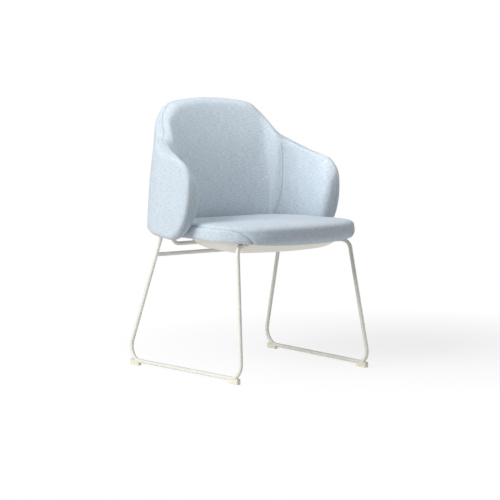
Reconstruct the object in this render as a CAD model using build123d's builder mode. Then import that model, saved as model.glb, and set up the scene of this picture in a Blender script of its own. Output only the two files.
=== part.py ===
"""Guest chair: an upholstered tub and seat cushion on a bent steel rod sled frame."""

import os
from math import atan2, cos, degrees, hypot, radians, sin, sqrt

from build123d import *

os.makedirs("parts", exist_ok=True)

# Rod frame: floor runners, legs and the loop that carries the tub
ROD_D = 12.0
RUNNER_Z = 14.0
FRONT_FOOT_X = 245.2
FRONT_FOOT_Y = -255.5
REAR_FOOT_X = 272.0
REAR_FOOT_Y = 282.5
FRONT_HEAD_X = 213.7
FRONT_HEAD_Y = -197.0
REAR_HEAD_X = 230.4
REAR_HEAD_Y = 135.5
REAR_HEAD_Z = 445.0
FRONT_FOOT_BEND = 40.0
REAR_FOOT_BEND = 45.0
FRONT_HEAD_BEND = 30.0
SEAT_RUN = 130.0
SEAT_RUN_ANGLE = 35.0
CROSS_BAR_Z = 343.0
LOOP_Y = 72.0
LOOP_Z = 383.0
LOOP_HALF = 240.0
LOOP_END_X = 272.0
LOOP_END_Z = 448.0
LOOP_BEND = 22.0
WELD_GAP = 0.1

# Floor glides
GLIDE_LENGTH = 43.0
GLIDE_WIDTH = 14.0
GLIDE_HEIGHT = 16.0
GLIDE_ROUND = 3.0
GLIDE_FRONT_Y = -245.0
GLIDE_REAR_Y = 261.3
GLIDE_FIT = 0.1
GLIDE_CHAMFER = 1.0

# Seat: rods below, steel plates, board, cushion, and the pan that closes it
SEAT_ROD_Z = 390.0
PLATE_THICK = 4.0
PLATE_WIDTH = 44.0
PLATE_X = 128.0
PLATE_FRONT_Y = -168.0
PLATE_REAR_Y = 96.0
PLATE_ROUND = 6.0
SADDLE_LENGTH = 16.0
SADDLE_WIDTH = 24.0
BOARD_THICK = 12.0
BOARD_INSET = 38.0
BOARD_FIT = 0.4
CUSHION_FRONT_Y = -270.5
CUSHION_SHOULDER_Y = -230.0
CUSHION_REAR_GAP = 11.0
CUSHION_SIDE_GAP = 3.9
CUSHION_TAPER = 35.0
CUSHION_FRONT_ROUND = 136.0
CUSHION_REAR_ROUND = 132.0
CUSHION_BELLY_Z = 420.0
CUSHION_BELOW = 32.0
CUSHION_ABOVE = 32.6
CUSHION_DRAW_IN = 34.0
CUSHION_CROWN_INSET = 90.0
CUSHION_SQUARE = 0.46
CUSHION_ANGLES = (-90, -64, -34, 0, 22, 44, 62, 78)
CUSHION_SAG = 18.0
CUSHION_TRIM = 0.5
PAN_RIM_Z = 399.5
PAN_FLOOR_Z = 363.0
PAN_WALL = 3.0
PAN_RIM_INSET = 42.0
PAN_FLOOR_INSET = 116.0
PAN_FORM = ((0.0, 0.0), (0.17, 0.34), (0.52, 0.78), (1.0, 1.0))
PAN_ROD_CLEARANCE = 1.2
ACCESS_HOLE_D = 11.0
ACCESS_HOLE_X = 176.0
ACCESS_HOLE_Y = -190.0

# Tub: plan curve of its outside, heights of its edges and thickness of its wall
BACK_Y = 254.0
BACK_R = 650.0
BACK_TURN = 17.9
CORNER_R = 152.0
ARM_TURN = 93.0
ARM_FRONT_Y = -68.0
BACK_TOP_Z = 819.0
CROWN_R = 1040.0
SHOULDER_WRAP = 200.0
SHOULDER_Z = 770.0
SHOULDER_SLOPE = 1.066
SHOULDER_BEND = 7.0
ARM_FRONT_Z = 622.3
ARM_SLOPE = 0.29
ARM_BLEND = 11.2
TUB_SEAT_Z = 400.0
TUB_REAR_Z = 420.0
TUB_ARM_Z = 393.0
TOP_NOSE = 54.0
LOW_NOSE = 100.0
LOW_NOSE_RISE = 164.0
EDGE_ROUND = 14.0
COVER_FRONT_INSET = 9.0
COVER_LOW_ROLL = 18.0
BACK_LEAN = 4.6
CORNER_LEAN = -45.3
ARM_LEAN = -28.0
LEAN_START = 178.0
LEAN_END = 282.0
OUTER_BULGE = 9.4
WALL_BACK_SEAT = 85.0
WALL_BACK_TOP = 52.0
WALL_ARM_SEAT = 36.0
WALL_ARM_TOP = 28.0
TOP_ROLL = 24.0
SEAM_DROP = 9.0
LOW_ROLL = 14.0
SEAM_REACH = 268.0
SEAM_GAP = 0.4
PAD_BLUNT = 0.4
LAYER_BLUNT = 4.0
COVER_THICK = 8.0
SHELL_THICK = 10.0
SHELL_TOP_DROP = 26.0
SHELL_FRONT_INSET = 26.0
SHELL_LIFT = 6.0
SOFT_GAP = 0.3
LAYER_GAP = 1.2
ROOM_BELOW = 1.0
STATION_GAP = 1.2
STATION_STEP = 34.0
NOSE_STEPS = (78.0, 56.0, 37.0, 22.0, 11.0, 4.0, 0.5)
ROLL_SHARE = 0.35
LOW_ROLL_SHARE = 0.2
ROUND_SHARE = 0.3

# Sockets in the tub wall and their fixings
SOCKET_WIDTH = 22.0
SOCKET_BACK = 8.0
LEG_SOCKET_LIFT = 4.0
LOOP_SOCKET_LIFT = 20.0
SOCKET_CAP = 9.0
SOCKET_BORE_FIT = 0.15
SOCKET_OPEN = 30.0
SCREW_D = 5.0
SCREW_HEAD_D = 9.6
SCREW_LENGTH = 19.0
SCREW_FIT = 0.15
SCREW_SHARES = (0.25, 0.75)
SEAT_SCREW_D = 6.0
SEAT_SCREW_HEAD_D = 11.0
SEAT_SCREW_HEAD = 3.0
SEAT_SCREW_YS = (-96.0, 36.0)
TEE_FLANGE_D = 18.0
TEE_FLANGE = 1.5
TEE_BARREL_D = 8.0
TEE_BARREL = 9.0
PAN_SCREW_YS = (-62.0, 4.0)
PAN_SCREW_D = 4.0
PAN_SCREW_HEAD_D = 8.0
PAN_SCREW_HEAD = 3.0
PAN_SCREW_SINK = 4.0
PAN_BOSS_D = 14.0
PAN_SEAT_GAP = 0.1

SIDES = (("left", 1), ("right", -1))
ROD_R = ROD_D / 2
PLATE_Z = SEAT_ROD_Z + ROD_R
BOARD_Z = PLATE_Z + PLATE_THICK
BOARD_TOP_Z = BOARD_Z + BOARD_THICK


def bent_bar(points, bends, diameter):
    """A round bar along straight runs joined by tangent bends."""
    with BuildPart() as bar:
        with BuildLine() as route:
            FilletPolyline(*points, radius=bends)
        with BuildSketch(Plane(route.line @ 0, z_dir=route.line % 0)):
            Circle(diameter / 2)
        sweep()
    return bar.part


def sled_bar(side, diameter):
    """Front leg, runner and rear leg of one side, from under the seat to inside the tub."""
    run_x = SEAT_RUN * cos(radians(SEAT_RUN_ANGLE))
    run_y = SEAT_RUN * sin(radians(SEAT_RUN_ANGLE))
    points = [
        (side * (FRONT_HEAD_X - run_x), FRONT_HEAD_Y + run_y, SEAT_ROD_Z),
        (side * FRONT_HEAD_X, FRONT_HEAD_Y, SEAT_ROD_Z),
        (side * FRONT_FOOT_X, FRONT_FOOT_Y, RUNNER_Z),
        (side * REAR_FOOT_X, REAR_FOOT_Y, RUNNER_Z),
        (side * REAR_HEAD_X, REAR_HEAD_Y, REAR_HEAD_Z),
    ]
    return bent_bar(points, [FRONT_HEAD_BEND, FRONT_FOOT_BEND, REAR_FOOT_BEND], diameter)


def loop_bar(diameter):
    """The cross rod under the seat, turned up at both ends."""
    points = [
        (-LOOP_END_X, LOOP_Y, LOOP_END_Z),
        (-LOOP_HALF, LOOP_Y, LOOP_Z),
        (LOOP_HALF, LOOP_Y, LOOP_Z),
        (LOOP_END_X, LOOP_Y, LOOP_END_Z),
    ]
    return bent_bar(points, [LOOP_BEND, LOOP_BEND], diameter)


def seat_outline(inset, z):
    """The seat's plan outline, drawn in by an inset, at a height."""
    half = CUSHION_HALF - inset
    rear_half = CUSHION_REAR_HALF - inset
    shoulder = CUSHION_SHOULDER_Y + inset
    rear = CUSHION_REAR_Y - inset
    with BuildSketch(Plane.XY.offset(z)) as outline:
        with BuildLine():
            ThreePointArc((-half, shoulder), (0, CUSHION_FRONT_Y + inset), (half, shoulder))
            Polyline((half, shoulder), (rear_half, rear), (-rear_half, rear), (-half, shoulder))
        make_face()
        fillet(outline.vertices().group_by(Axis.Y)[0], CUSHION_FRONT_ROUND - inset)
        fillet(outline.vertices().group_by(Axis.Y)[-1], CUSHION_REAR_ROUND - inset)
    return outline.sketch


def cushion_section(angle):
    """Outline of the cushion at an angle round its edge: round below, fuller towards its crown."""
    across = cos(radians(angle))
    up = abs(sin(radians(angle)))
    if angle < 0:
        return seat_outline(CUSHION_DRAW_IN * (1 - across), CUSHION_BELLY_Z - CUSHION_BELOW * up)
    inset = CUSHION_CROWN_INSET * (1 - across**CUSHION_SQUARE)
    return seat_outline(inset, CUSHION_BELLY_Z + CUSHION_ABOVE * up**CUSHION_SQUARE)


# Plan curve of the tub's outside, from the middle of the back round to the arm's front
BACK_LENGTH = BACK_R * radians(BACK_TURN)
CORNER_LENGTH = CORNER_R * radians(ARM_TURN - BACK_TURN)
CORNER_X = (BACK_R - CORNER_R) * sin(radians(BACK_TURN))
CORNER_Y = BACK_Y - BACK_R + (BACK_R - CORNER_R) * cos(radians(BACK_TURN))
ARM_START_Y = CORNER_Y + CORNER_R * cos(radians(ARM_TURN))
ARM_LENGTH = (ARM_START_Y - ARM_FRONT_Y) / sin(radians(ARM_TURN))
HALF_WRAP = BACK_LENGTH + CORNER_LENGTH + ARM_LENGTH

# The cushion fills the tub between the walls
CUSHION_HALF = CORNER_X + CORNER_R * sin(radians(ARM_TURN)) - WALL_ARM_SEAT - CUSHION_SIDE_GAP
CUSHION_REAR_HALF = CUSHION_HALF - CUSHION_TAPER
CUSHION_REAR_Y = BACK_Y - WALL_BACK_SEAT - CUSHION_REAR_GAP


def plan_at(wrap):
    """Plan point and outward direction at a length along the curve, negative on the right."""
    side = -1 if wrap < 0 else 1
    length = abs(wrap)
    if length <= BACK_LENGTH:
        turn = length / BACK_R
        x = BACK_R * sin(turn)
        y = BACK_Y - BACK_R + BACK_R * cos(turn)
    elif length <= BACK_LENGTH + CORNER_LENGTH:
        turn = radians(BACK_TURN) + (length - BACK_LENGTH) / CORNER_R
        x = CORNER_X + CORNER_R * sin(turn)
        y = CORNER_Y + CORNER_R * cos(turn)
    else:
        turn = radians(ARM_TURN)
        rest = length - BACK_LENGTH - CORNER_LENGTH
        x = CORNER_X + CORNER_R * sin(turn) + rest * cos(turn)
        y = ARM_START_Y - rest * sin(turn)
    return Vector(side * x, y, 0), Vector(side * sin(turn), cos(turn), 0)


def wrap_near(x, y):
    """Length along the curve of the place that faces a plan point on the left side."""
    if y < ARM_START_Y:
        return BACK_LENGTH + CORNER_LENGTH + (ARM_START_Y - y) / sin(radians(ARM_TURN))
    turn = degrees(atan2(x - CORNER_X, y - CORNER_Y))
    return BACK_LENGTH + CORNER_R * radians(turn - BACK_TURN)


def ease(value, start, end):
    share = min(max((value - start) / (end - start), 0), 1)
    return share * share * (3 - 2 * share)


def nose(distance, length):
    """Share of a quarter ellipse's rise, from 1 at the arm's front to 0 a length behind it."""
    share = max(length - distance, 0) / length
    return 1 - sqrt(max(1 - share * share, 0))


def edge_line(length):
    """The tub's edge line: the back's crown bends into a falling shoulder, which eases into the arm."""
    crown = BACK_TOP_Z - length**2 / (2 * CROWN_R)
    shoulder = SHOULDER_Z - SHOULDER_SLOPE * (length - SHOULDER_WRAP)
    back = (crown + shoulder) / 2 - hypot((crown - shoulder) / 2, SHOULDER_BEND)
    arm = ARM_FRONT_Z + ARM_SLOPE * (HALF_WRAP - length)
    return (back + arm) / 2 + hypot((back - arm) / 2, ARM_BLEND)


def top_at(wrap):
    """Height of the tub's top edge, rounded down at the arm's front."""
    length = min(abs(wrap), HALF_WRAP)
    level = BACK_TOP_Z - edge_line(0)
    return edge_line(length) + level - TOP_NOSE * nose(HALF_WRAP - length, TOP_NOSE)


def bottom_at(wrap):
    length = min(abs(wrap), HALF_WRAP)
    along = ease(length, BACK_LENGTH, HALF_WRAP)
    level = TUB_REAR_Z + (TUB_ARM_Z - TUB_REAR_Z) * along
    return level + LOW_NOSE_RISE * nose(HALF_WRAP - length, LOW_NOSE)


def outer_at(wrap, z):
    """How far the outside stands out of the plan curve at a height."""
    rise = (z - TUB_SEAT_Z) / (BACK_TOP_Z - TUB_SEAT_Z)
    lean = BACK_LEAN + (CORNER_LEAN - BACK_LEAN) * ease(abs(wrap), LEAN_START, LEAN_END)
    lean += (ARM_LEAN - CORNER_LEAN) * ease(abs(wrap), LEAN_END, HALF_WRAP)
    return lean * rise + 4 * OUTER_BULGE * rise * (1 - rise)


def wall_at(wrap, z):
    """Thickness of the whole padded wall at a height."""
    rise = (z - TUB_SEAT_Z) / (BACK_TOP_Z - TUB_SEAT_Z)
    along = ease(abs(wrap), BACK_LENGTH, HALF_WRAP)
    seat = WALL_BACK_SEAT + (WALL_ARM_SEAT - WALL_BACK_SEAT) * along
    top = WALL_BACK_TOP + (WALL_ARM_TOP - WALL_BACK_TOP) * along
    return seat + (top - seat) * rise


def wall_plane(wrap):
    """Upright plane square to the plan curve: its x points outwards and its y up."""
    point, outward = plan_at(wrap)
    return Plane(point, x_dir=outward, z_dir=outward.cross(Vector(0, 0, 1)))


def radial_plane(wrap, z, depth):
    """Plane that faces outwards at a depth below the tub's outside."""
    point, outward = plan_at(wrap)
    origin = point + outward * (outer_at(wrap, z) - depth)
    return Plane(Vector(origin.X, origin.Y, z), z_dir=outward)


def padded_section(wrap):
    """The whole wall: outside, rolled top, inside, rolled lower edge."""
    low = bottom_at(wrap)
    high = top_at(wrap)
    squeeze = EDGE_ROUND * nose(HALF_WRAP - abs(wrap), EDGE_ROUND)
    room = high - low
    roll = min(TOP_ROLL, ROLL_SHARE * room)
    drop = roll * SEAM_DROP / TOP_ROLL
    low_roll = min(LOW_ROLL, LOW_ROLL_SHARE * room)

    def outside(z):
        return (outer_at(wrap, z) - squeeze, z)

    def inside(z):
        return (outer_at(wrap, z) - wall_at(wrap, z) + squeeze, z)

    middle = (low + high) / 2
    crest = ((outside(high)[0] + inside(high)[0]) / 2, high)
    heel = (inside(low)[0] + low_roll, low)
    heel_middle = (inside(low)[0] + ROUND_SHARE * low_roll, low + ROUND_SHARE * low_roll)
    with BuildSketch(wall_plane(wrap)) as section:
        with BuildLine():
            ThreePointArc(outside(low), outside(middle), outside(high - drop))
            ThreePointArc(outside(high - drop), crest, inside(high - roll))
            ThreePointArc(inside(high - roll), inside(middle), inside(low + low_roll))
            ThreePointArc(inside(low + low_roll), heel_middle, heel)
            Line(heel, outside(low))
        make_face()
    return section.sketch


def layer_section(wrap, depth, thick, drop, inset, lift):
    """One layer of the wall, set back from its top, its front and its lower edge."""
    ahead = abs(wrap) + inset
    low = bottom_at(ahead) + lift
    high = top_at(ahead) - drop
    middle = (low + high) / 2

    def face(z, below):
        return (outer_at(wrap, z) - below, z)

    with BuildSketch(wall_plane(wrap)) as section:
        with BuildLine():
            ThreePointArc(face(low, depth), face(middle, depth), face(high, depth))
            Line(face(high, depth), face(high, depth + thick))
            ThreePointArc(
                face(high, depth + thick), face(middle, depth + thick), face(low, depth + thick)
            )
            Line(face(low, depth + thick), face(low, depth))
        make_face()
    return section.sketch


def cover_section(wrap):
    """The cover: set back at the seam, and rolled under at the tub's lower edge."""
    ahead = abs(wrap) + COVER_FRONT_INSET
    low = bottom_at(ahead)
    high = top_at(ahead) - SEAM_DROP
    middle = (low + high) / 2
    roll = min(COVER_LOW_ROLL, LOW_ROLL_SHARE * (high - low))

    def face(z, below):
        return (outer_at(wrap, z) - below, z)

    with BuildSketch(wall_plane(wrap)) as section:
        with BuildLine():
            ThreePointArc(face(low + roll, 0), face(middle, 0), face(high, 0))
            Line(face(high, 0), face(high, COVER_THICK))
            ThreePointArc(face(high, COVER_THICK), face(middle, COVER_THICK), face(low, COVER_THICK))
            ThreePointArc(
                face(low, COVER_THICK),
                face(low + ROUND_SHARE * roll, ROUND_SHARE * COVER_THICK),
                face(low + roll, 0),
            )
        make_face()
    return section.sketch


def stations(start, end):
    """Places along the wall: even along the back and arm, close together at the arm's front."""
    count = int((HALF_WRAP - LOW_NOSE) / STATION_STEP)
    places = [(HALF_WRAP - LOW_NOSE) * step / count for step in range(count + 1)]
    places += [HALF_WRAP - step for step in NOSE_STEPS]
    both = sorted({-place for place in places} | set(places))
    inner = [place for place in both if start + STATION_GAP < place < end - STATION_GAP]
    return [start] + inner + [end]


def layer(start, end, depth, thick, drop, inset, lift):
    """Solid of one layer between two places along the wall."""
    with BuildPart() as sheet:
        loft([layer_section(s, depth, thick, drop, inset, lift) for s in stations(start, end)])
    return sheet.part


SHELL_DEPTH = COVER_THICK + LAYER_GAP
SHELL_INNER = SHELL_DEPTH + SHELL_THICK
COVER_END = HALF_WRAP - COVER_FRONT_INSET - LAYER_BLUNT
SHELL_END = HALF_WRAP - SHELL_FRONT_INSET - LAYER_BLUNT
PAD_END = HALF_WRAP - PAD_BLUNT

# Room that the cover and the shell take up in the padded wall
cover_room = layer(
    -COVER_END - SOFT_GAP,
    COVER_END + SOFT_GAP,
    -EDGE_ROUND,
    EDGE_ROUND + COVER_THICK + SOFT_GAP,
    SEAM_DROP - SOFT_GAP,
    COVER_FRONT_INSET - SOFT_GAP,
    -ROOM_BELOW,
)
shell_room = layer(
    -SHELL_END - SOFT_GAP,
    SHELL_END + SOFT_GAP,
    COVER_THICK / 2,
    SHELL_INNER + SOFT_GAP - COVER_THICK / 2,
    SHELL_TOP_DROP - SOFT_GAP,
    SHELL_FRONT_INSET - SOFT_GAP,
    -ROOM_BELOW,
)


def rear_leg_at(z):
    share = (z - RUNNER_Z) / (REAR_HEAD_Z - RUNNER_Z)
    x = REAR_FOOT_X + (REAR_HEAD_X - REAR_FOOT_X) * share
    y = REAR_FOOT_Y + (REAR_HEAD_Y - REAR_FOOT_Y) * share
    return Vector(x, y, z)


def loop_end_at(z):
    share = (z - LOOP_Z) / (LOOP_END_Z - LOOP_Z)
    return Vector(LOOP_HALF + (LOOP_END_X - LOOP_HALF) * share, LOOP_Y, z)


def depth_of(point):
    """How far inside the tub's outside a point of the left wall lies."""
    wrap = wrap_near(point.X, point.Y)
    place, outward = plan_at(wrap)
    return (place - Vector(point.X, point.Y, 0)).dot(outward) + outer_at(wrap, point.Z)


def socket_block(axis_at, head_z, lift, side, grow, below):
    """A block round a rod's end, drawn out to the tub's outside, leaning with the rod."""
    wrap = wrap_near(axis_at(head_z).X, axis_at(head_z).Y)
    base_z = bottom_at(wrap) + lift - below
    top_z = head_z + SOCKET_CAP + grow
    start = axis_at(base_z)
    lean = axis_at(top_z) - start
    outward = plan_at(wrap)[1]
    reach = min(depth_of(axis_at(base_z)), depth_of(axis_at(top_z))) + SOCKET_BACK + 2 * grow
    origin = Vector(side * start.X, start.Y, start.Z)
    plane = Plane(origin, x_dir=(side * outward.X, outward.Y, 0), z_dir=(0, 0, 1))
    with BuildPart() as block:
        with BuildSketch(plane):
            with Locations((reach / 2 - SOCKET_BACK - grow, 0)):
                Rectangle(reach, SOCKET_WIDTH + 2 * grow)
        extrude(amount=lean.length, dir=(side * lean.X, lean.Y, lean.Z))
    return block.part


SOCKETS = (
    ("leg", rear_leg_at, REAR_HEAD_Z, LEG_SOCKET_LIFT),
    ("loop", loop_end_at, LOOP_END_Z, LOOP_SOCKET_LIFT),
)


def socket_screw_planes():
    """Where the shell is screwed to the four sockets: two screws in each, facing outwards."""
    planes = []
    for _, axis_at, head_z, lift in SOCKETS:
        wrap = wrap_near(axis_at(head_z).X, axis_at(head_z).Y)
        low_z = bottom_at(wrap) + lift
        for share in SCREW_SHARES:
            z = low_z + share * (head_z + SOCKET_CAP - low_z)
            planes += [radial_plane(side * wrap, z, SHELL_DEPTH) for _, side in SIDES]
    return planes


def plate_places(ys, z):
    return [(side * PLATE_X, y, z) for _, side in SIDES for y in ys]


# Sled rods: one bent bar a side
for name, side in SIDES:
    with BuildPart() as sled_rod:
        add(sled_bar(side, ROD_D))
    sled_rod.part.label = f"{name}_sled_rod"
    export_step(sled_rod.part, f"parts/{name}_sled_rod.step")

# Cross bar, coped to the rear legs
with BuildPart() as rear_cross_bar:
    bar_y = rear_leg_at(CROSS_BAR_Z).Y
    bar_length = 2 * rear_leg_at(CROSS_BAR_Z).X
    with BuildSketch(Plane.YZ.offset(-bar_length / 2)):
        with Locations((bar_y, CROSS_BAR_Z)):
            Circle(ROD_R)
    extrude(amount=bar_length)
    for _, side in SIDES:
        add(sled_bar(side, ROD_D + 2 * WELD_GAP), mode=Mode.SUBTRACT)
rear_cross_bar.part.label = "rear_cross_bar"
export_step(rear_cross_bar.part, "parts/rear_cross_bar.step")

# Loop under the seat that carries the tub's sides
with BuildPart() as back_loop:
    add(loop_bar(ROD_D))
back_loop.part.label = "back_loop"
export_step(back_loop.part, "parts/back_loop.step")

# Seat plates, each with a saddle down to the loop
for name, side in SIDES:
    with BuildPart() as seat_plate:
        plate_length = PLATE_REAR_Y - PLATE_FRONT_Y
        plate_middle = (PLATE_REAR_Y + PLATE_FRONT_Y) / 2
        with BuildSketch(Plane.XY.offset(PLATE_Z)):
            with Locations((side * PLATE_X, plate_middle)):
                RectangleRounded(PLATE_WIDTH, plate_length, PLATE_ROUND)
        extrude(amount=PLATE_THICK)
        with BuildSketch(Plane.XY.offset(LOOP_Z)):
            with Locations((side * PLATE_X, LOOP_Y)):
                Rectangle(SADDLE_WIDTH, SADDLE_LENGTH)
        extrude(amount=PLATE_Z - LOOP_Z)
        add(loop_bar(ROD_D + 2 * WELD_GAP), mode=Mode.SUBTRACT)
        with Locations(*[(side * PLATE_X, y, BOARD_Z) for y in SEAT_SCREW_YS]):
            Hole(SEAT_SCREW_D / 2 + SCREW_FIT, PLATE_THICK)
        with Locations(*[(side * PLATE_X, y, BOARD_Z) for y in PAN_SCREW_YS]):
            Hole(PAN_SCREW_D / 2 + SCREW_FIT, PLATE_THICK)
    seat_plate.part.label = f"{name}_seat_plate"
    export_step(seat_plate.part, f"parts/{name}_seat_plate.step")

# Floor glides, clipped under the ends of the runners
runner = Vector(REAR_FOOT_X - FRONT_FOOT_X, REAR_FOOT_Y - FRONT_FOOT_Y, 0).normalized()
glide_middles = {
    "front": GLIDE_FRONT_Y + GLIDE_LENGTH / 2,
    "rear": GLIDE_REAR_Y - GLIDE_LENGTH / 2,
}
for end, glide_y in glide_middles.items():
    for name, side in SIDES:
        glide_x = FRONT_FOOT_X + runner.X * (glide_y - FRONT_FOOT_Y) / runner.Y
        along = (side * runner.X, runner.Y, 0)
        with BuildPart() as glide:
            with BuildSketch(Plane((side * glide_x, glide_y, 0), x_dir=along, z_dir=(0, 0, 1))):
                RectangleRounded(GLIDE_LENGTH, GLIDE_WIDTH, GLIDE_ROUND)
            extrude(amount=GLIDE_HEIGHT)
            chamfer(glide.faces().sort_by(Axis.Z)[0].edges(), GLIDE_CHAMFER)
            add(sled_bar(side, ROD_D + 2 * GLIDE_FIT), mode=Mode.SUBTRACT)
        glide.part.label = f"{end}_{name}_glide"
        export_step(glide.part, f"parts/{end}_{name}_glide.step")

# Seat board with its tee nuts and screws
with BuildPart() as seat_board:
    add(seat_outline(BOARD_INSET, BOARD_Z))
    extrude(amount=BOARD_THICK)
    with Locations(*plate_places(SEAT_SCREW_YS, BOARD_TOP_Z)):
        CounterBoreHole(
            TEE_BARREL_D / 2 + SCREW_FIT, TEE_FLANGE_D / 2 + SCREW_FIT, TEE_FLANGE, BOARD_THICK
        )
seat_board.part.label = "seat_board"
export_step(seat_board.part, "parts/seat_board.step")

with BuildPart() as tee_nuts:
    with BuildSketch(Plane.XY.offset(BOARD_TOP_Z)):
        with Locations(*plate_places(SEAT_SCREW_YS, 0)):
            Circle(TEE_FLANGE_D / 2)
    extrude(amount=-TEE_FLANGE)
    with BuildSketch(Plane.XY.offset(BOARD_TOP_Z)):
        with Locations(*plate_places(SEAT_SCREW_YS, 0)):
            Circle(TEE_BARREL_D / 2)
    extrude(amount=-TEE_BARREL)
    with Locations(*plate_places(SEAT_SCREW_YS, BOARD_TOP_Z)):
        Hole(SEAT_SCREW_D / 2 + SCREW_FIT, BOARD_THICK)
tee_nuts.part.label = "tee_nuts"
export_step(tee_nuts.part, "parts/tee_nuts.step")

with BuildPart() as seat_screws:
    with BuildSketch(Plane.XY.offset(PLATE_Z)):
        with Locations(*plate_places(SEAT_SCREW_YS, 0)):
            Circle(SEAT_SCREW_HEAD_D / 2)
    extrude(amount=-SEAT_SCREW_HEAD)
    with BuildSketch(Plane.XY.offset(PLATE_Z)):
        with Locations(*plate_places(SEAT_SCREW_YS, 0)):
            Circle(SEAT_SCREW_D / 2)
    extrude(amount=PLATE_THICK + BOARD_THICK - TEE_FLANGE)
seat_screws.part.label = "seat_screws"
export_step(seat_screws.part, "parts/seat_screws.step")

# Cushion: round below, full at the side, rolled over to a crown, hollow for the board,
# with an underside that hangs lowest along the middle
UNDER_Z = CUSHION_BELLY_Z - CUSHION_BELOW
with BuildPart() as seat_cushion:
    loft([cushion_section(angle) for angle in CUSHION_ANGLES])
    with BuildSketch(Plane.XZ):
        middle_z = UNDER_Z + CUSHION_TRIM
        side_z = middle_z + CUSHION_SAG
        with BuildLine():
            ThreePointArc((-CUSHION_HALF, side_z), (0, middle_z), (CUSHION_HALF, side_z))
            Polyline(
                (CUSHION_HALF, side_z),
                (CUSHION_HALF, UNDER_Z - CUSHION_SAG),
                (-CUSHION_HALF, UNDER_Z - CUSHION_SAG),
                (-CUSHION_HALF, side_z),
            )
        make_face()
    extrude(amount=CUSHION_REAR_Y - CUSHION_FRONT_Y, both=True, mode=Mode.SUBTRACT)
    add(seat_outline(BOARD_INSET - BOARD_FIT, UNDER_Z))
    extrude(amount=BOARD_TOP_Z + BOARD_FIT - UNDER_Z, mode=Mode.SUBTRACT)
seat_cushion.part.label = "seat_cushion"
export_step(seat_cushion.part, "parts/seat_cushion.step")

# Pan: a moulded dish with screw bosses, let through for the rods
PAN_DEPTH = PAN_RIM_Z - PAN_FLOOR_Z
PAN_SLOPE = PAN_FLOOR_INSET - PAN_RIM_INSET
with BuildPart() as seat_pan:
    loft([
        seat_outline(PAN_RIM_INSET + run * PAN_SLOPE, PAN_RIM_Z - fall * PAN_DEPTH)
        for run, fall in PAN_FORM
    ])
    loft(
        [
            seat_outline(
                PAN_RIM_INSET + PAN_WALL + run * PAN_SLOPE, PAN_RIM_Z + PAN_WALL - fall * PAN_DEPTH
            )
            for run, fall in PAN_FORM
        ],
        mode=Mode.SUBTRACT,
    )
    with BuildSketch(Plane.XY.offset(PAN_FLOOR_Z + PAN_WALL / 2)):
        with Locations(*plate_places(PAN_SCREW_YS, 0)):
            Circle(PAN_BOSS_D / 2)
    extrude(amount=PLATE_Z - PAN_SEAT_GAP - PAN_FLOOR_Z - PAN_WALL / 2)
    boss_feet = plate_places(PAN_SCREW_YS, PAN_FLOOR_Z)
    with Locations(*[Plane(foot, z_dir=(0, 0, -1)) for foot in boss_feet]):
        CounterBoreHole(
            PAN_SCREW_D / 2 + SCREW_FIT,
            PAN_SCREW_HEAD_D / 2 + SCREW_FIT,
            PAN_SCREW_SINK,
            PLATE_Z - PAN_FLOOR_Z,
        )
    for _, side in SIDES:
        add(sled_bar(side, ROD_D + 2 * PAN_ROD_CLEARANCE), mode=Mode.SUBTRACT)
        with Locations((side * ACCESS_HOLE_X, ACCESS_HOLE_Y, PAN_RIM_Z)):
            Hole(ACCESS_HOLE_D / 2, PAN_DEPTH)
    add(loop_bar(ROD_D + 2 * PAN_ROD_CLEARANCE), mode=Mode.SUBTRACT)
seat_pan.part.label = "seat_pan"
export_step(seat_pan.part, "parts/seat_pan.step")

with BuildPart() as pan_screws:
    with BuildSketch(Plane.XY.offset(PAN_FLOOR_Z + PAN_SCREW_SINK)):
        with Locations(*plate_places(PAN_SCREW_YS, 0)):
            Circle(PAN_SCREW_HEAD_D / 2)
    extrude(amount=-PAN_SCREW_HEAD)
    with BuildSketch(Plane.XY.offset(PAN_FLOOR_Z + PAN_SCREW_SINK)):
        with Locations(*plate_places(PAN_SCREW_YS, 0)):
            Circle(PAN_SCREW_D / 2)
    extrude(amount=BOARD_Z - PAN_FLOOR_Z - PAN_SCREW_SINK)
pan_screws.part.label = "pan_screws"
export_step(pan_screws.part, "parts/pan_screws.step")

# Moulded shell inside the tub, with countersunk holes for the socket screws
with BuildPart() as back_shell:
    add(
        layer(
            -SHELL_END, SHELL_END, SHELL_DEPTH, SHELL_THICK, SHELL_TOP_DROP, SHELL_FRONT_INSET, SHELL_LIFT
        )
    )
    with Locations(*socket_screw_planes()):
        CounterSinkHole(SCREW_D / 2 + SCREW_FIT, SCREW_HEAD_D / 2 + SCREW_FIT, 2 * SHELL_THICK)
back_shell.part.label = "back_shell"
export_step(back_shell.part, "parts/back_shell.step")

# Sockets that take the rear legs and the loop's ends
for kind, axis_at, head_z, lift in SOCKETS:
    for name, side in SIDES:
        with BuildPart() as socket:
            add(socket_block(axis_at, head_z, lift, side, 0, 0))
            add(cover_room, mode=Mode.SUBTRACT)
            add(shell_room, mode=Mode.SUBTRACT)
            if kind == "leg":
                add(sled_bar(side, ROD_D + 2 * SOCKET_BORE_FIT), mode=Mode.SUBTRACT)
            else:
                add(loop_bar(ROD_D + 2 * SOCKET_BORE_FIT), mode=Mode.SUBTRACT)
            with Locations(*socket_screw_planes()):
                Hole(SCREW_D / 2 + SCREW_FIT, SCREW_LENGTH + SCREW_FIT)
        socket.part.label = f"{name}_{kind}_socket"
        export_step(socket.part, f"parts/{name}_{kind}_socket.step")

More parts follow.
